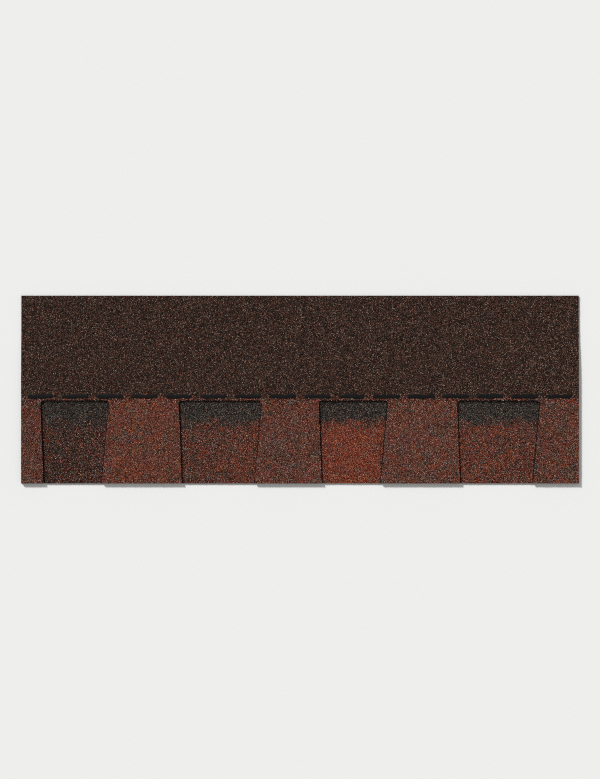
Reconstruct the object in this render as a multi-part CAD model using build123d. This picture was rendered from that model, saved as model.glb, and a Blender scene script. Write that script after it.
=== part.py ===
from build123d import *
import math
import os

# Laminated asphalt shingle, lying face up on a level floor. Sizes are in millimetres.
#
# X runs along the course, Y up the roof slope from the butt edge, and Z out of the face.
# The origin is in the middle of the shingle's footprint, at floor level.
# The face is a sheet whose lower half is cut into tabs. A plain strip, the shim, backs the
# tabs and shows between them, and lines of asphalt bond the two together.
# Heights on the sheet are measured from the butt edge, which is the lower edge on a roof.

# The whole shingle, seen from above
LENGTH = 1000.0
SHEET_HEIGHT = 337.0
EXPOSURE = 143.0  # height that the course above leaves in view

# Sheets
TOP_THICKNESS = 2.7
SHIM_THICKNESS = 2.5
BOND_THICKNESS = 0.4
NAIL_ZONE_HEIGHT = 26.0  # how far the shim reaches above the cut-outs, so that nails pass both
FLAT_HEADLAP_HEIGHT = 42.0  # strip along the top edge that lies on the floor

# Tabs and cut-outs, measured along the butt edge. The last tab takes what is left of the length.
FIRST_TAB_WIDTH = 40.0
CUTOUT_WIDTHS = (105.0, 131.0, 106.0, 131.0)
INNER_TAB_WIDTHS = (143.0, 120.0, 142.0)
CUTOUT_RISE = 6.0  # the cut-outs end this far above the exposed height
CUTOUT_LEFT_LEAN = 2.2  # degrees from square to the butt edge, away from the cut-out
CUTOUT_RIGHT_LEAN = 5.2
CUTOUT_CORNER_RADIUS = 7.0

# Lines of asphalt between the sheets
TAB_BOND_COUNT = 3
TAB_BOND_WIDTH = 14.0
TAB_BOND_MARGIN = 16.0  # from the butt edge, and from the cut-outs' closed ends, to a line's middle
NAIL_ZONE_BOND_WIDTH = 12.0
BOND_INSET = 4.0  # kept back from every edge, so that no asphalt is squeezed out

# Dashes of self-sealing adhesive, which the course above sticks to
SEAL_CLEARANCE = 2.0  # from the cut-outs' closed ends
SEAL_WIDTH = 10.0
SEAL_DASH_LENGTH = 50.0
SEAL_GAP = 12.0
SEAL_THICKNESS = 0.8
SEAL_EDGE_RADIUS = 0.5
SEAL_END_MARGIN = 8.0  # least distance from the shingle's ends

# Places that follow from the sizes above
LEFT = -LENGTH / 2
RIGHT = LENGTH / 2
BUTT = -SHEET_HEIGHT / 2
TOP_EDGE = SHEET_HEIGHT / 2
CUTOUT_DEPTH = EXPOSURE + CUTOUT_RISE
SHIM_HEIGHT = CUTOUT_DEPTH + NAIL_ZONE_HEIGHT
DRAPE_HEIGHT = SHEET_HEIGHT - SHIM_HEIGHT - FLAT_HEADLAP_HEIGHT
SEAL_LINE = CUTOUT_DEPTH + SEAL_CLEARANCE + SEAL_WIDTH / 2
TOP_BACK_LEVEL = SHIM_THICKNESS + BOND_THICKNESS
TOP_FACE_LEVEL = TOP_BACK_LEVEL + TOP_THICKNESS

CLEAR = 5.0  # how far cutting tools run past what they cut


def plan_rectangle(left, right, low, high):
    """Rectangle seen from above, with its sides at these X and Y values."""
    return Pos((left + right) / 2, (low + high) / 2) * Rectangle(right - left, high - low)


def cutout_spans():
    """Left and right X of each cut-out at the butt edge."""
    spans = []
    x = LEFT + FIRST_TAB_WIDTH
    for cutout, next_tab in zip(CUTOUT_WIDTHS, (*INNER_TAB_WIDTHS, 0)):
        spans.append((x, x + cutout))
        x += cutout + next_tab
    return spans


def cutout_plan(left, right):
    """A cut-out seen from above: wider at its closed end, with rounded inner corners."""
    left_slope = math.tan(math.radians(CUTOUT_LEFT_LEAN))
    right_slope = math.tan(math.radians(CUTOUT_RIGHT_LEAN))
    mouth = BUTT - CLEAR
    closed = BUTT + CUTOUT_DEPTH
    outline = Polygon(
        (left + left_slope * CLEAR, mouth),
        (right - right_slope * CLEAR, mouth),
        (right + right_slope * CUTOUT_DEPTH, closed),
        (left - left_slope * CUTOUT_DEPTH, closed),
        align=None,
    )
    inner_corners = outline.vertices().sort_by(Axis.Y)[-2:]
    return fillet(inner_corners, CUTOUT_CORNER_RADIUS)


def top_layer_section():
    """Side view of the top layer: level over the shim, then two equal bends down to the floor."""
    turn = 2 * math.atan2(TOP_BACK_LEVEL, DRAPE_HEIGHT)
    middle_radius = DRAPE_HEIGHT / (2 * math.sin(turn))
    inside = middle_radius - TOP_THICKNESS / 2
    outside = middle_radius + TOP_THICKNESS / 2
    turn_degrees = math.degrees(turn)

    drape_start = BUTT + SHIM_HEIGHT
    drape_end = drape_start + DRAPE_HEIGHT
    upper_bend_centre = (drape_start, TOP_BACK_LEVEL - inside)
    lower_bend_centre = (drape_end, outside)

    return make_face(
        [
            Line((BUTT, TOP_BACK_LEVEL), (drape_start, TOP_BACK_LEVEL)),
            CenterArc(upper_bend_centre, inside, 90, -turn_degrees),
            CenterArc(lower_bend_centre, outside, 270 - turn_degrees, turn_degrees),
            Line((drape_end, 0), (TOP_EDGE, 0)),
            Line((TOP_EDGE, 0), (TOP_EDGE, TOP_THICKNESS)),
            Line((TOP_EDGE, TOP_THICKNESS), (drape_end, TOP_THICKNESS)),
            CenterArc(lower_bend_centre, inside, 270, -turn_degrees),
            CenterArc(upper_bend_centre, outside, 90 - turn_degrees, turn_degrees),
            Line((drape_start, TOP_FACE_LEVEL), (BUTT, TOP_FACE_LEVEL)),
            Line((BUTT, TOP_FACE_LEVEL), (BUTT, TOP_BACK_LEVEL)),
        ]
    )


def top_layer():
    """The face sheet, with its lower half cut into tabs."""
    section = Plane.YZ.offset(LEFT) * top_layer_section()
    sheet = extrude(section, LENGTH, dir=(1, 0, 0))
    cutter_base = Pos(0, 0, TOP_BACK_LEVEL - CLEAR)
    for left, right in cutout_spans():
        sheet -= extrude(cutter_base * cutout_plan(left, right), TOP_THICKNESS + 2 * CLEAR)
    return sheet


def shim_layer():
    """The plain strip behind the tabs."""
    plan = plan_rectangle(LEFT, RIGHT, BUTT, BUTT + SHIM_HEIGHT)
    return extrude(plan, SHIM_THICKNESS)


def bond_line_plan(middle, width):
    """One bonding line seen from above, across the whole length, kept back from the ends."""
    low = BUTT + middle - width / 2
    return plan_rectangle(LEFT + BOND_INSET, RIGHT - BOND_INSET, low, low + width)


def laminating_bond():
    """The asphalt lines that hold the top layer on the shim, broken at every cut-out."""
    lines = bond_line_plan(CUTOUT_DEPTH + NAIL_ZONE_HEIGHT / 2, NAIL_ZONE_BOND_WIDTH)
    spacing = (CUTOUT_DEPTH - 2 * TAB_BOND_MARGIN) / (TAB_BOND_COUNT - 1)
    for i in range(TAB_BOND_COUNT):
        lines += bond_line_plan(TAB_BOND_MARGIN + i * spacing, TAB_BOND_WIDTH)
    for left, right in cutout_spans():
        lines -= offset(cutout_plan(left, right), BOND_INSET, kind=Kind.INTERSECTION)
    return extrude(Pos(0, 0, SHIM_THICKNESS) * lines, BOND_THICKNESS)


def seal_dash():
    """One dash of self-sealing adhesive, with round ends and a rounded top edge."""
    dash = extrude(SlotOverall(SEAL_DASH_LENGTH, SEAL_WIDTH), SEAL_THICKNESS)
    top_edges = dash.faces().sort_by(Axis.Z)[-1].edges()
    return fillet(top_edges, min(SEAL_EDGE_RADIUS, 0.9 * SEAL_THICKNESS))


def seal_strip():
    """The row of adhesive dashes just above the cut-outs, centred on the length."""
    pitch = SEAL_DASH_LENGTH + SEAL_GAP
    room = LENGTH - 2 * SEAL_END_MARGIN
    count = int((room + SEAL_GAP) // pitch)
    first = -(count - 1) * pitch / 2
    dash = seal_dash()
    return Compound(
        [Pos(first + i * pitch, BUTT + SEAL_LINE, TOP_FACE_LEVEL) * dash for i in range(count)]
    )


def main():
    os.makedirs("parts", exist_ok=True)
    pieces = {
        "top_layer": top_layer(),
        "shim_layer": shim_layer(),
        "laminating_bond": laminating_bond(),
        "seal_strip": seal_strip(),
    }
    for node, shape in pieces.items():
        export_step(shape, f"parts/{node}.step")


main()
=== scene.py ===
import math

import bmesh
import bpy
import numpy as np
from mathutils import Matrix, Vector, noise
from mathutils.bvhtree import BVHTree


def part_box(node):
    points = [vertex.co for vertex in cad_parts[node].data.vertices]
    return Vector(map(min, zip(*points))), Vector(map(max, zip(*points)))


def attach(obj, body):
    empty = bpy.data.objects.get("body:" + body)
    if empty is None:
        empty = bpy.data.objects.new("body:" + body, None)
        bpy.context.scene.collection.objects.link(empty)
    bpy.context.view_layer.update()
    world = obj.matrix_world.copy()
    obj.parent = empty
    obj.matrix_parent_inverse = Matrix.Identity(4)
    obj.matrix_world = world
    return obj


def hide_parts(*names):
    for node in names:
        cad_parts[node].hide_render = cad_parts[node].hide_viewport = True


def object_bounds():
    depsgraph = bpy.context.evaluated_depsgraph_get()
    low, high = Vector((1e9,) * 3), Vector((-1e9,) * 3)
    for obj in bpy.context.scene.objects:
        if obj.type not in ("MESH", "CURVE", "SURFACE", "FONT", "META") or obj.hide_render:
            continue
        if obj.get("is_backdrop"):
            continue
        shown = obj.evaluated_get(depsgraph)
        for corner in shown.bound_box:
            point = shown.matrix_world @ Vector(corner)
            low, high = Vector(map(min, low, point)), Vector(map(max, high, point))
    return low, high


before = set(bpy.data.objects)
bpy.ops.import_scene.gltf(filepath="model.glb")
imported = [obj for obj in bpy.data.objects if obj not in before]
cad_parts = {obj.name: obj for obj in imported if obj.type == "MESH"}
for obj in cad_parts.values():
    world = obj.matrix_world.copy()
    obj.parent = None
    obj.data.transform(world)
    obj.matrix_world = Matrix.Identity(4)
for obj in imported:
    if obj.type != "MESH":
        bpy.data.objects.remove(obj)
CAD_LOW, CAD_HIGH = (tuple(corner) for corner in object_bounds())

MM = 0.001  # every size is in metres
SEED = 7

# The sheets. Heights are up the slope from the butt edge.
LENGTH = CAD_HIGH[0] - CAD_LOW[0]
BUTT = CAD_LOW[1]
EXPOSURE = 143 * MM  # height that the course above leaves in view
HEADLAP_START = EXPOSURE + 10 * MM  # height at which the headlap's granules start
HEADLAP_EDGE = 12 * MM  # height over which they mix with those below
HEADLAP_PIECES = 4
SHADOW_BAND_START = 107 * MM  # height on the shim at which its dark granules start
SHADOW_BAND_EDGE = 22 * MM
BARE_CREASE = 1.8 * MM  # beside each tab, the shim is free of granules
PROBE_HEIGHT = 50 * MM  # above all that lies on the floor

# Granules, made as chips of stone
FINE_SPACING = 1.11 * MM  # between neighbouring granules on the part that shows on a roof
COARSE_SPACING = 1.44 * MM  # on the headlap
GRAIN_SHAKE = 0.46  # how far a granule moves from its place in the grid, in grid spacings
GRAIN_RADIUS = (0.58, 0.92)  # in grid spacings
GRAIN_FLATNESS = 0.62  # granules are pressed flat into the hot asphalt
GRAIN_ROUGHNESS_OF_SHAPE = 0.24  # how far a granule's corners stray from an even shape
GRAIN_TILT = 0.32  # radians, one in three chips tilts by more
GRAIN_STANDS_PROUD = (0.02, 0.26)  # its middle, above the sheet, in grid spacings
MAP_MARGIN = 1.3  # round all granules on their texture map, in radii of the largest

# A chip has an edge on top and another, crosswise, below.
CORNERS = np.array([(1, 0, 0.7), (-1, 0, 0.7), (0, 1, -0.7), (0, -1, -0.7)]) / 1.22
FACES = np.array([(0, 3, 2), (1, 2, 3), (0, 2, 1), (0, 1, 3)])

# Painted finish
FILLER_SPACING = 1.15 * MM  # of the smaller granules between the stones
FILLER_ASPHALT_AND_SHADE = 0.5  # how far each is mixed to asphalt's colour: partly asphalt over it, partly painted shade between the stones
FILLER_RIM = (0.42, 0.62)  # in spacings from its middle: it fades into the asphalt between these
FILLER_NOTCHES_PER_METRE = 2400
FILLER_NOTCH_DEPTH = 1.1 * MM  # noise moves their outlines by at most half of this either way
PAINTED_SHADE_REACH = 2.5 * MM  # painted shade: only a wall or stone nearer than this hides part of the sky
PAINTED_SHADE_SKY = (0.6, 0.95)  # painted shade: a face that sees less of the sky is painted in asphalt's colour, and one that sees more keeps its granules
SAND_PER_METRE = 1500
STREAKS_PER_METRE = (4, 70, 0)  # on the back, along the roll and across it
STREAK_DARKNESS = (0.3, 1.6)  # from none to all of the streaks' colour; the noise ends at 1
GLOSS_SWING = 0.3  # in roughness, from the glossiest spot of bare asphalt to the dullest
LEVEL_ENOUGH = 0.5  # a face whose normal rises or falls by less is a cut edge
SPECULAR = 0.12  # asphalt and stone are dull

# The seal strip
DASH_LENGTH = 50 * MM
DASH_COUNT = 16
BEAD_RIPPLE = 7 * MM
BEAD_UNEVENNESS = 1.8 * MM
BEAD_SUNK = 0.15 * MM
BEAD_LOWEST = 0.6  # of its full height, where its crown is lowest
BEAD_ALONG = np.linspace(-1, 1, 57)
BEAD_ACROSS = np.sin(np.linspace(-1, 1, 13) * math.pi / 2)


# Colours

def srgb(red, green, blue):
    """A colour as an eye-dropper gives it, 0 to 255, made linear for the shader."""
    def linear(value):
        value /= 255
        return value / 12.92 if value <= 0.04045 else ((value + 0.055) / 1.055) ** 2.4
    return (linear(red), linear(green), linear(blue), 1.0)


def scaled(colour, factor):
    """The same colour, made darker or brighter."""
    return tuple(factor * channel for channel in colour[:3]) + (1.0,)


ASPHALT = srgb(22, 20, 20)
BOND = srgb(24, 22, 22)
SEALANT = srgb(17, 16, 16)
STREAK = srgb(34, 33, 32)

# Two places on the noise's scale, and the colours there
CUT_TONES = ((0.40, srgb(15, 14, 14)), (0.70, srgb(58, 54, 51)))
SAND_TONES = ((0.40, srgb(30, 29, 28)), (0.66, srgb(128, 122, 114)))

# Each blend of granules: the share of each colour and the colour
BROWN_BLEND = (
    (0.14, srgb(60, 20, 9)),
    (0.18, srgb(94, 43, 29)),
    (0.23, srgb(118, 66, 51)),
    (0.20, srgb(137, 87, 73)),
    (0.08, srgb(140, 69, 50)),
    (0.11, srgb(154, 111, 98)),
    (0.06, srgb(182, 149, 135)),
)
OLIVE_BLEND = (
    (0.15, srgb(42, 25, 16)),
    (0.19, srgb(70, 52, 41)),
    (0.25, srgb(93, 76, 64)),
    (0.21, srgb(111, 95, 83)),
    (0.14, srgb(133, 117, 105)),
    (0.06, srgb(169, 154, 143)),
)
RED_BLEND = (
    (0.12, srgb(72, 18, 7)),
    (0.17, srgb(113, 42, 25)),
    (0.26, srgb(147, 63, 40)),
    (0.23, srgb(170, 82, 54)),
    (0.10, srgb(181, 108, 82)),
    (0.08, srgb(161, 118, 103)),
    (0.04, srgb(190, 154, 135)),
)
CHARCOAL_BLEND = (
    (0.30, srgb(24, 12, 7)),
    (0.26, srgb(44, 32, 25)),
    (0.20, srgb(68, 56, 50)),
    (0.13, srgb(97, 85, 77)),
    (0.05, srgb(154, 139, 128)),
    (0.06, srgb(103, 57, 44)),
)
SHADOW_BLEND = (
    (0.27, srgb(20, 18, 17)),
    (0.25, srgb(47, 44, 41)),
    (0.20, srgb(71, 67, 62)),
    (0.13, srgb(103, 97, 89)),
    (0.08, srgb(138, 122, 108)),
    (0.07, srgb(106, 62, 48)),
)
HEADLAP_BLEND = (
    (0.24, srgb(34, 20, 14)),
    (0.28, srgb(56, 40, 32)),
    (0.22, srgb(82, 63, 53)),
    (0.13, srgb(112, 83, 70)),
    (0.07, srgb(108, 56, 42)),
    (0.06, srgb(146, 122, 108)),
)

# Along each sheet: a place, as a share of the length, and the shares of red and charcoal granules
TOP_DRIFT = (
    (0.02, 0.05, 0.12),
    (0.21, 0.32, 0.02),
    (0.48, 0.05, 0.06),
    (0.72, 0.12, 0.05),
    (0.96, 0.14, 0.13),
)
SHIM_DRIFT = (
    (0.09, 0.05, 0.72),
    (0.35, 0.20, 0.30),
    (0.59, 0.84, 0.01),
    (0.85, 0.25, 0.28),
)
OLIVE_SHARE = 0.22  # of the granules that are neither red nor charcoal


# Nodes and objects

def add(tree, kind, inputs=None, **settings):
    """Adds a node. Its inputs are values, or outputs of other nodes to link."""
    node = tree.nodes.new(kind)
    for name, value in settings.items():
        setattr(node, name, value)
    for name, value in (inputs or {}).items():
        if isinstance(value, bpy.types.NodeSocket):
            tree.links.new(value, node.inputs[name])
        else:
            node.inputs[name].default_value = value
    return node


def math_node(tree, operation, *values):
    """The outcome of one sum. Each value is a number or an output."""
    inputs = dict(enumerate(values))
    return add(tree, "ShaderNodeMath", inputs, operation=operation).outputs[0]


def mix_colours(tree, share, first, second, blend_type="MIX"):
    """All the first colour where the share is 0, and all the second where it is 1."""
    inputs = {0: share, 6: first, 7: second}
    return add(tree, "ShaderNodeMix", inputs, data_type="RGBA", blend_type=blend_type).outputs[2]


def map_range(tree, value, low, high):
    """0 where the value is low or less, 1 where it is high or more."""
    inputs = {"Value": value, "From Min": low, "From Max": high}
    return add(tree, "ShaderNodeMapRange", inputs).outputs["Result"]


def lumps_of(tree, place, per_metre, detail):
    """Smooth noise round 0.5, with so many lumps to the metre."""
    inputs = {"Vector": place, "Scale": per_metre, "Detail": detail}
    return add(tree, "ShaderNodeTexNoise", inputs).outputs["Fac"]


def set_stops(ramp, stops):
    """Gives a colour ramp these stops, each a place from 0 to 1 and a colour."""
    while len(ramp.elements) > 1:
        ramp.elements.remove(ramp.elements[-1])
    ramp.elements[0].position, ramp.elements[0].color = stops[0]
    for place, colour in stops[1:]:
        ramp.elements.new(place).color = colour


def two_tone(tree, share, low_stop, high_stop):
    """A colour that runs from one stop to the other as the share grows."""
    ramp = add(tree, "ShaderNodeValToRGB", {"Fac": share})
    set_stops(ramp.color_ramp, [low_stop, high_stop])
    return ramp.outputs["Color"]


def new_material(name):
    """An empty material with its Principled shader."""
    material = bpy.data.materials.new(name)
    material.use_nodes = True
    return material, material.node_tree, material.node_tree.nodes["Principled BSDF"]


def put_in_scene(name, data):
    """A new object with this mesh, light or camera."""
    thing = bpy.data.objects.new(name, data)
    bpy.context.scene.collection.objects.link(thing)
    return thing


# The colours of granules

def granule_colours(name, drift, upper_blend, upper_start, upper_edge):
    """A node group that gives a granule its colour from where it lies and two random numbers.
    Above upper_start, a height on the sheet, the granules are those of the upper blend."""
    tree = new_granule_group(name)
    given = add(tree, "NodeGroupInput").outputs
    place, pick, drop = given["Place"], given["Pick"], given["Drop"]
    # A second random number, made from the first
    second_drop = math_node(tree, "FRACT", math_node(tree, "MULTIPLY", drop, 23.0))
    axes = add(tree, "ShaderNodeSeparateXYZ", {0: place}).outputs

    colour = dropped_colour(tree, place, axes["X"], pick, drop, second_drop, drift)
    colour = leaning_colour(tree, place, colour)

    wave = patches(tree, place, per_metre=40, shift=(9, 1, 0), swing=2.0)
    height = math_node(tree, "SUBTRACT", axes["Y"], BUTT + upper_start)
    share = math_node(tree, "MULTIPLY_ADD", height, 1 / upper_edge, 0.5)
    is_upper = math_node(tree, "LESS_THAN", second_drop, math_node(tree, "ADD", share, wave))
    colour = mix_colours(tree, is_upper, colour, pick_from(tree, upper_blend, pick))

    add(tree, "NodeGroupOutput", {"Color": colour})
    return tree


def new_granule_group(name):
    """An empty node group: a place and two random numbers go in, and a colour comes out."""
    tree = bpy.data.node_groups.new(name, "ShaderNodeTree")
    tree.interface.new_socket("Place", in_out="INPUT", socket_type="NodeSocketVector")
    tree.interface.new_socket("Pick", in_out="INPUT", socket_type="NodeSocketFloat")
    tree.interface.new_socket("Drop", in_out="INPUT", socket_type="NodeSocketFloat")
    tree.interface.new_socket("Color", in_out="OUTPUT", socket_type="NodeSocketColor")
    return tree


def dropped_colour(tree, place, x, pick, drop, second_drop, drift):
    """Brown, with drops of olive, red and charcoal granules, which come in uneven patches."""
    along = math_node(tree, "MULTIPLY_ADD", x, 1 / LENGTH, 0.5)
    ramp = add(tree, "ShaderNodeValToRGB", {"Fac": along})
    set_stops(ramp.color_ramp, [(at, (red, charcoal, 0, 1)) for at, red, charcoal in drift])
    shares = add(tree, "ShaderNodeSeparateColor", {0: ramp.outputs["Color"]}).outputs

    red_patches = patches(tree, place, per_metre=95, shift=(0, 0, 0), swing=2.3)
    charcoal_patches = patches(tree, place, per_metre=38, shift=(3, 5, 0), swing=0.35)
    olive_patches = patches(tree, place, per_metre=88, shift=(7, 2, 0), swing=3.5)
    red_share = math_node(tree, "ADD", shares["Red"], red_patches)
    charcoal_share = math_node(tree, "ADD", shares["Green"], charcoal_patches)
    olive_share = math_node(tree, "ADD", OLIVE_SHARE, olive_patches)
    not_charcoal = math_node(tree, "SUBTRACT", 1.0, charcoal_share)

    is_olive = math_node(tree, "LESS_THAN", second_drop, olive_share)
    is_red = math_node(tree, "LESS_THAN", drop, red_share)
    is_charcoal = math_node(tree, "GREATER_THAN", drop, not_charcoal)
    colour = pick_from(tree, BROWN_BLEND, pick)
    for is_other, blend in ((is_olive, OLIVE_BLEND), (is_red, RED_BLEND), (is_charcoal, CHARCOAL_BLEND)):
        colour = mix_colours(tree, is_other, colour, pick_from(tree, blend, pick))
    return colour


def leaning_colour(tree, place, colour):
    """The colour, leaning to ochre in some patches and to plum in others."""
    bluish = math_node(tree, "ADD", 1.0, patches(tree, place, per_metre=60, shift=(2, 8, 0), swing=0.8))
    tint = add(tree, "ShaderNodeCombineColor", {"Red": 1.0, "Green": 1.0, "Blue": bluish})
    return mix_colours(tree, 1.0, colour, tint.outputs["Color"], "MULTIPLY")


def patches(tree, place, per_metre, shift, swing):
    """Numbers round 0 that drift from patch to patch, one to three centimetres across.
    The shift, in metres, sets one kind of patch apart from another."""
    moved = add(tree, "ShaderNodeVectorMath", {0: place, 1: shift}, operation="ADD").outputs[0]
    return math_node(tree, "MULTIPLY_ADD", lumps_of(tree, moved, per_metre, 3.0), swing, -swing / 2)


def pick_from(tree, blend, pick):
    """The colour of one granule of a blend, chosen by a number from 0 to 1."""
    node = add(tree, "ShaderNodeValToRGB", {"Fac": pick})
    node.color_ramp.interpolation = "CONSTANT"
    stops, place = [], 0.0
    for share, colour in blend:
        stops.append((place, colour))
        place += share
    set_stops(node.color_ramp, stops)
    return node.outputs["Color"]


def colour_of_granule(tree, colours, place, pick, drop):
    """What the node group made by granule_colours gives for one granule."""
    inputs = {"Place": place, "Pick": pick, "Drop": drop}
    return add(tree, "ShaderNodeGroup", inputs, node_tree=colours).outputs["Color"]


# Materials

def loose_granule_material(name, colours):
    """For granules that are made as stones: each has one colour all over."""
    material, tree, shader = new_material(name)
    place = add(tree, "ShaderNodeAttribute", attribute_name="grain_place").outputs["Vector"]
    pick = add(tree, "ShaderNodeAttribute", attribute_name="grain_pick").outputs["Fac"]
    drop = add(tree, "ShaderNodeAttribute", attribute_name="grain_drop").outputs["Fac"]
    colour = colour_of_granule(tree, colours, place, pick, drop)
    tree.links.new(colour, shader.inputs["Base Color"])
    shader.inputs["Roughness"].default_value = 0.8
    shader.inputs["Specular IOR Level"].default_value = SPECULAR
    return material


def sheet_material(name, colours):
    """For a whole sheet: asphalt and small granules on its face, sand on its back, bare cut edges."""
    material, tree, shader = new_material(name)
    place = add(tree, "ShaderNodeTexCoord").outputs["Object"]
    fillers = {"Vector": notched(tree, place), "Scale": 1 / FILLER_SPACING}
    cells = add(tree, "ShaderNodeTexVoronoi", fillers).outputs
    # The noise is tilted, so that no face of the sheet lies flat in its grid, where it is fainter.
    tilted = add(tree, "ShaderNodeMapping", {"Vector": place, "Rotation": (0.6, 0.5, 0.0)})
    sand = lumps_of(tree, tilted.outputs[0], SAND_PER_METRE, 2.0)
    normal = add(tree, "ShaderNodeNewGeometry").outputs["True Normal"]
    up = add(tree, "ShaderNodeSeparateXYZ", {0: normal}).outputs["Z"]

    cut = two_tone(tree, sand, *CUT_TONES)
    is_back = math_node(tree, "LESS_THAN", up, -LEVEL_ENOUGH)
    colour = mix_colours(tree, is_back, cut, sanded_back(tree, place, sand))
    is_face = math_node(tree, "GREATER_THAN", up, LEVEL_ENOUGH)
    colour = mix_colours(tree, is_face, colour, filler_face(tree, cells, colours))
    tree.links.new(colour, shader.inputs["Base Color"])
    shader.inputs["Roughness"].default_value = 0.85
    shader.inputs["Specular IOR Level"].default_value = SPECULAR

    relief = math_node(tree, "SUBTRACT", sand, cells["Distance"])
    bump = add(tree, "ShaderNodeBump", {"Height": relief, "Distance": 0.25 * MM, "Strength": 0.7})
    tree.links.new(bump.outputs["Normal"], shader.inputs["Normal"])
    return material


def notched(tree, place):
    """The place, pushed about by fine noise, so that a round granule gets an uneven outline."""
    notches = {"Vector": place, "Scale": FILLER_NOTCHES_PER_METRE, "Detail": 1.0}
    waver = add(tree, "ShaderNodeTexNoise", notches).outputs["Color"]
    centred = add(tree, "ShaderNodeVectorMath", {0: waver, 1: (0.5,) * 3}, operation="SUBTRACT").outputs[0]
    push = {0: centred, 1: (FILLER_NOTCH_DEPTH,) * 3, 2: place}
    return add(tree, "ShaderNodeVectorMath", push, operation="MULTIPLY_ADD").outputs[0]


def filler_face(tree, cells, colours):
    """Small granules half sunk in asphalt between the stones, mixed towards asphalt's colour partly as
    painted shade. Where walls and stones hide the sky, the face is painted asphalt's colour as shade.
    """
    numbers = add(tree, "ShaderNodeSeparateColor", {0: cells["Color"]}).outputs
    granule = colour_of_granule(tree, colours, cells["Position"], numbers["Red"], numbers["Green"])
    # Partly asphalt over the small granules, and partly painted shade between the stones.
    sunk = mix_colours(tree, FILLER_ASPHALT_AND_SHADE, granule, ASPHALT)
    between = map_range(tree, cells["Distance"], *FILLER_RIM)
    face = mix_colours(tree, between, sunk, ASPHALT)
    # Painted shade: where walls and stones hide the sky, the face turns to asphalt's colour.
    painted_shade_sky = add(tree, "ShaderNodeAmbientOcclusion", {"Distance": PAINTED_SHADE_REACH}, samples=8)
    return mix_colours(tree, map_range(tree, painted_shade_sky.outputs["AO"], *PAINTED_SHADE_SKY), ASPHALT, face)


def sanded_back(tree, place, sand):
    """Black asphalt with pale sand pressed in, in faint streaks along the roll."""
    fine = two_tone(tree, sand, *SAND_TONES)
    along_roll = {0: place, 1: STREAKS_PER_METRE}
    roll = add(tree, "ShaderNodeVectorMath", along_roll, operation="MULTIPLY").outputs[0]
    streaks = lumps_of(tree, roll, 1.0, 4.0)
    return mix_colours(tree, map_range(tree, streaks, *STREAK_DARKNESS), fine, STREAK)


def asphalt_material(name, colour, roughness, lump_size, lump_height):
    """Bare asphalt, with low lumps where it was laid hot."""
    material, tree, shader = new_material(name)
    place = add(tree, "ShaderNodeTexCoord").outputs["Object"]
    lumps = lumps_of(tree, place, 1 / lump_size, 4.0)
    shade = mix_colours(tree, lumps, scaled(colour, 0.6), scaled(colour, 1.5))
    tree.links.new(shade, shader.inputs["Base Color"])
    # The gloss is uneven too, and on average as stated.
    gloss = math_node(tree, "MULTIPLY_ADD", lumps, GLOSS_SWING, roughness - GLOSS_SWING / 2)
    tree.links.new(gloss, shader.inputs["Roughness"])
    shader.inputs["Specular IOR Level"].default_value = SPECULAR
    bump = add(tree, "ShaderNodeBump", {"Height": lumps, "Distance": lump_height, "Strength": 0.8})
    tree.links.new(bump.outputs["Normal"], shader.inputs["Normal"])
    return material


# Where granules lie

def look_down(pieces):
    """A function that gives, for a place seen from above, the piece there and its height."""
    trees = {}
    for piece in pieces:
        corners = [vertex.co for vertex in piece.data.vertices]
        faces = [tuple(face.vertices) for face in piece.data.polygons]
        trees[piece.name] = BVHTree.FromPolygons(corners, faces)

    def probe(x, y):
        best_name, best_height = None, -1.0
        for name, tree in trees.items():
            hit = tree.ray_cast(Vector((x, y, PROBE_HEIGHT)), Vector((0, 0, -1)))[0]
            if hit is not None and hit.z > best_height:
                best_name, best_height = name, hit.z
        return best_name, best_height

    return probe


def granule_places(beads, rng):
    """Where each granule lies, by the area that it belongs to."""
    probe = look_down((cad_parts["top_layer"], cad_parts["shim_layer"], beads))
    cutouts = cutout_middles(probe)
    closed_ends = BUTT + EXPOSURE
    exposed = shaken_grid(rng, BUTT, closed_ends, FINE_SPACING)
    headlap = shaken_grid(rng, closed_ends, CAD_HIGH[1], COARSE_SPACING)
    areas = {}
    for x, y in np.concatenate([exposed, headlap]):
        node, height = probe(x, y)
        if node == "shim_layer" and near_a_tab(probe, x, y):
            continue
        area = area_name(node, x, y, cutouts)
        if area:
            areas.setdefault(area, []).append((x, y, height))
    return {area: np.array(found) for area, found in sorted(areas.items())}


def near_a_tab(probe, x, y):
    """Whether a tab's side is so close that the shim is bare here."""
    return "top_layer" in (probe(x - BARE_CREASE, y)[0], probe(x + BARE_CREASE, y)[0])


def area_name(node, x, y, cutouts):
    """The name of the piece that a granule here goes into, or None where the beads lie."""
    if node == "shim_layer":
        return f"granules_cutout_{1 + int(np.argmin(abs(cutouts - x)))}"
    if node == "top_layer" and y < BUTT + EXPOSURE:
        return f"granules_tab_{1 + int(np.searchsorted(cutouts, x))}"
    if node == "top_layer":
        return f"granules_headlap_{1 + int(HEADLAP_PIECES * (x - CAD_LOW[0]) / LENGTH)}"
    return None


def cutout_middles(probe):
    """X of the middle of each cut-out, found by looking down along the butt edge."""
    steps = np.arange(CAD_LOW[0] + MM, CAD_HIGH[0], MM)
    shows_shim = np.array([probe(x, BUTT + MM)[0] == "shim_layer" for x in steps])
    starts = np.flatnonzero(np.diff(shows_shim.astype(int)) == 1)
    ends = np.flatnonzero(np.diff(shows_shim.astype(int)) == -1)
    return (steps[starts] + steps[ends]) / 2


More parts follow.
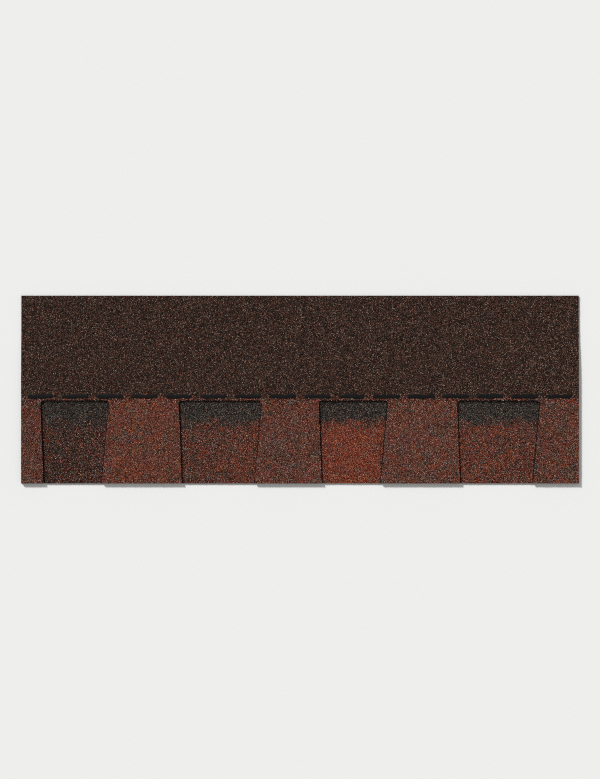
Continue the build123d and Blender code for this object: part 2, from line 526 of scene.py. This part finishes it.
def shaken_grid(rng, low, high, spacing):
    """Places all over the length, between two values of Y, in an uneven hexagonal grid."""
    row_step = spacing * math.sqrt(3) / 2
    columns = np.arange(CAD_LOW[0], CAD_HIGH[0] + spacing, spacing)
    rows = np.arange(low, high + row_step, row_step)
    x, y = np.meshgrid(columns, rows)
    x[1::2] += spacing / 2
    places = np.stack([x.ravel(), y.ravel()], 1)
    places += rng.uniform(-GRAIN_SHAKE, GRAIN_SHAKE, places.shape) * spacing
    inside = (places > (CAD_LOW[0], low)) & (places < (CAD_HIGH[0], high))
    return places[inside.all(1)]


# The shapes of granules

def crushed_stones(name, places, spacing, material, rng):
    """One mesh of closed, four-sided chips of stone, each half sunk in the sheet at its place."""
    count = len(places)
    chips = CORNERS + rng.uniform(-1, 1, (count, 4, 3)) * GRAIN_ROUGHNESS_OF_SHAPE
    chips = np.einsum("nij,nkj->nki", random_turns(rng, count), chips)
    chips *= spacing * rng.uniform(*GRAIN_RADIUS, (count, 1, 1))
    chips[:, :, 2] *= GRAIN_FLATNESS
    chips += places[:, None, :]
    chips[:, :, 2] += spacing * rng.uniform(*GRAIN_STANDS_PROUD, (count, 1))
    # Granules at the sheet's outer edges are cut with it.
    corners = np.clip(chips, CAD_LOW, CAD_HIGH).reshape(-1, 3)

    mesh = bpy.data.meshes.new(name)
    faces = (FACES[None] + 4 * np.arange(count)[:, None, None]).reshape(-1, 3)
    mesh.from_pydata(corners, [], faces)
    random_numbers = rng.uniform(0, 1, (2, count)).repeat(4, axis=1)
    for attribute, numbers in zip(("grain_pick", "grain_drop"), random_numbers):
        mesh.attributes.new(attribute, "FLOAT", "POINT").data.foreach_set("value", numbers)
    homes = places.repeat(4, axis=0).ravel()
    mesh.attributes.new("grain_place", "FLOAT_VECTOR", "POINT").data.foreach_set("vector", homes)
    map_from_above(mesh, corners, places, spacing * GRAIN_RADIUS[1] * MAP_MARGIN)

    mesh.materials.append(material)
    return put_in_scene(name, mesh)


def random_turns(rng, count):
    """Rotation matrices: any turn about Z, after a small tilt to any side."""
    tilt = rng.normal(0, GRAIN_TILT, count)
    side, turn = rng.uniform(0, 2 * math.pi, (2, count))
    return about_z(turn) @ about_x(tilt) @ about_z(side)


def about_z(angles):
    """A rotation matrix for each angle."""
    matrices = np.zeros((len(angles), 3, 3))
    matrices[:, 0, 0] = matrices[:, 1, 1] = np.cos(angles)
    matrices[:, 1, 0] = np.sin(angles)
    matrices[:, 0, 1] = -np.sin(angles)
    matrices[:, 2, 2] = 1
    return matrices


def about_x(angles):
    """The same about X: each axis of about_z takes the place of the next."""
    return np.roll(about_z(angles), (1, 1), (1, 2))


def map_from_above(mesh, corners, places, margin):
    """Lays the chips out on their texture map as they lie on the sheet, seen from above."""
    low = places[:, :2].min(0) - margin
    span = np.ptp(places[:, :2], axis=0) + 2 * margin
    order = np.empty(len(mesh.loops), int)
    mesh.loops.foreach_get("vertex_index", order)
    plan = (corners[order, :2] - low) / span
    mesh.uv_layers.new(name="OFBake").uv.foreach_set("vector", plan.astype(np.float32).ravel())


# The seal strip

def seal_beads():
    """Dashes of adhesive as they are laid hot: crowned, lumpy and uneven along their edges."""
    low, high = (Vector(corner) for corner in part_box("seal_strip"))
    first = low.x + DASH_LENGTH / 2
    step = (high.x - low.x - DASH_LENGTH) / (DASH_COUNT - 1)
    mesh = bmesh.new()
    for dash in range(DASH_COUNT):
        middle = Vector((first + dash * step, (low.y + high.y) / 2, low.z))
        add_bead(mesh, middle, (high.y - low.y) / 2, high.z)
    for face in mesh.faces:
        face.smooth = True
    data = bpy.data.meshes.new("seal_beads")
    mesh.to_mesh(data)
    mesh.free()
    return put_in_scene("seal_beads", data)


def add_bead(mesh, middle, half_width, top):
    """One closed bead: a grid of faces above, and a single face below."""
    grid = [
        [mesh.verts.new(bead_point(middle, along, across, half_width, top)) for across in BEAD_ACROSS]
        for along in BEAD_ALONG
    ]
    for row, next_row in zip(grid, grid[1:]):
        for i in range(len(row) - 1):
            mesh.faces.new((row[i], next_row[i], next_row[i + 1], row[i + 1]))
    one_side = [row[0] for row in grid]
    other_side = [row[-1] for row in reversed(grid)]
    rim = one_side + grid[-1][1:-1] + other_side + grid[0][-2:0:-1]
    mesh.faces.new(rim[::-1])


def bead_point(middle, along, across, half_width, top):
    """A point of a bead's upper surface. Along and across run from -1 to 1."""
    x = middle.x + along * (DASH_LENGTH / 2 - BEAD_UNEVENNESS * wobble(middle.x * 7, 0, 1))
    from_end = (1 - abs(along)) * DASH_LENGTH / 2
    # The ends are round, but not so far that they close to a point.
    end_round = math.sqrt(max(0.02, 1 - max(0.0, 1 - from_end / half_width) ** 2))
    # Each side has noise of its own.
    side = 3 if across > 0 else 5
    width = end_round * (half_width - BEAD_UNEVENNESS * wobble(x, side, BEAD_RIPPLE))
    y = middle.y + across * width
    crown = (1 - across ** 4) * end_round
    share = BEAD_LOWEST + (1 - BEAD_LOWEST) * wobble(x, y, BEAD_RIPPLE)
    height = (top - middle.z) * crown * share
    return Vector((x, y, middle.z + BEAD_SUNK * (crown - 1) + height))


def wobble(x, y, size):
    """Smooth noise from 0 to 1, with bumps of this size and of a third of it."""
    place = Vector((x, y, 0)) / size
    return min(1.0, max(0.0, 0.5 + 0.8 * noise.noise(place) + 0.4 * noise.noise(3 * place)))


# The shingle

def dress(node, material):
    """Gives a node of the frame this finish, in place of its own."""
    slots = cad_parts[node].data.materials
    slots.clear()
    slots.append(material)


def build_shingle():
    """The two sheets and their bond in their finishes, the seal strip and the granules."""
    top = granule_colours("top_granules", TOP_DRIFT, HEADLAP_BLEND, HEADLAP_START, HEADLAP_EDGE)
    shim = granule_colours("shim_granules", SHIM_DRIFT, SHADOW_BLEND, SHADOW_BAND_START, SHADOW_BAND_EDGE)
    bond = asphalt_material("bonding_asphalt", BOND, 0.6, 6 * MM, 0.2 * MM)
    dress("top_layer", sheet_material("top_sheet", top))
    dress("shim_layer", sheet_material("shim_sheet", shim))
    dress("laminating_bond", bond)

    beads = seal_beads()
    sealant = asphalt_material("sealing_asphalt", SEALANT, 0.62, 2 * MM, 0.15 * MM)
    beads.data.materials.append(sealant)
    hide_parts("seal_strip")
    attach(beads, "root")

    build_granules(beads, top, shim)


def build_granules(beads, top_colours, shim_colours):
    """The granules of each tab, of each cut-out and of each quarter of the headlap."""
    stones = {
        "granule_face": loose_granule_material("face_granules", top_colours),
        "granule_shim": loose_granule_material("cutout_granules", shim_colours),
    }
    rng = np.random.default_rng(SEED)
    for area, places in granule_places(beads, rng).items():
        slot = "granule_shim" if "cutout" in area else "granule_face"
        spacing = COARSE_SPACING if "headlap" in area else FINE_SPACING
        piece = crushed_stones(area, places, spacing, stones[slot], rng)
        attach(piece, "root")


# The studio

KEY_ELEVATION = math.radians(30)
KEY_AZIMUTH = math.radians(130)  # from +X towards +Y: from the upper left of the picture
KEY_SHARE = 0.6  # of the light on a level surface
KEY_WIDTH = math.radians(9)
HORIZON_LIGHT = 0.85
HORIZON_FALLOFF = 4
FLOOR_COLOUR = srgb(238, 238, 236)
FLOOR_REACH = 60.0
LENS = 100.0
SENSOR = 36.0
SHINGLE_SHARE = 0.93  # of the picture's width


def build_floor():
    """A pale, dull floor that reaches past every view."""
    mesh = bpy.data.meshes.new("floor")
    corners = [(FLOOR_REACH * x, FLOOR_REACH * y, 0) for x, y in ((-1, -1), (1, -1), (1, 1), (-1, 1))]
    mesh.from_pydata(corners, [], [(0, 1, 2, 3)])
    material, _, shader = new_material("pale_floor")
    shader.inputs["Base Color"].default_value = FLOOR_COLOUR
    shader.inputs["Roughness"].default_value = 0.9
    shader.inputs["Specular IOR Level"].default_value = 0.0
    mesh.materials.append(material)
    put_in_scene("floor", mesh)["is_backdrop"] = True


def build_fill():
    """Light from all round, which is as pale as the floor at the horizon and dimmer overhead."""
    world = bpy.data.worlds.new("studio")
    world.use_nodes = True
    tree = world.node_tree
    direction = add(tree, "ShaderNodeTexCoord").outputs["Generated"]
    height = add(tree, "ShaderNodeSeparateXYZ", {0: direction}).outputs["Z"]
    below_top = math_node(tree, "SUBTRACT", 1.0, math_node(tree, "MAXIMUM", height, 0.0))
    glow = math_node(tree, "POWER", below_top, HORIZON_FALLOFF)
    # On a level surface, the horizon's extra light counts for this share.
    counts = 2 / ((HORIZON_FALLOFF + 1) * (HORIZON_FALLOFF + 2))
    overhead = (1 - KEY_SHARE - counts * HORIZON_LIGHT) / (1 - counts)
    strength = math_node(tree, "MULTIPLY_ADD", glow, HORIZON_LIGHT - overhead, overhead)
    background = tree.nodes["Background"]
    background.inputs["Color"].default_value = (1, 1, 1, 1)
    tree.links.new(strength, background.inputs["Strength"])
    bpy.context.scene.world = world


def build_key():
    """A broad, low light from up the slope and the left."""
    lamp = bpy.data.lights.new("key", "SUN")
    lamp.energy = KEY_SHARE * math.pi / math.sin(KEY_ELEVATION)
    lamp.angle = KEY_WIDTH
    level = math.cos(KEY_ELEVATION)
    x, y = level * math.cos(KEY_AZIMUTH), level * math.sin(KEY_AZIMUTH)
    towards = Vector((x, y, math.sin(KEY_ELEVATION)))
    put_in_scene("key", lamp).rotation_euler = towards.to_track_quat("Z", "Y").to_euler()


def build_camera():
    """Straight above the shingle, with up the slope at the top of the picture."""
    camera = bpy.data.cameras.new("camera")
    camera.lens = LENS
    camera.sensor_fit = "HORIZONTAL"
    camera.sensor_width = SENSOR
    seen_width = LENGTH / SHINGLE_SHARE
    distance = seen_width * LENS / SENSOR
    rig = put_in_scene("camera", camera)
    rig.location = (0, 0, CAD_HIGH[2] + distance)
    bpy.context.scene.camera = rig


build_camera()
build_shingle()
build_floor()
build_fill()
build_key()
bpy.context.scene.view_settings.view_transform = "Standard"
bpy.context.scene.cycles.use_denoising = False  # it would smear the granules
bpy.context.scene.cycles.filter_width = 1.0  # pixels: as sharp as the photograph
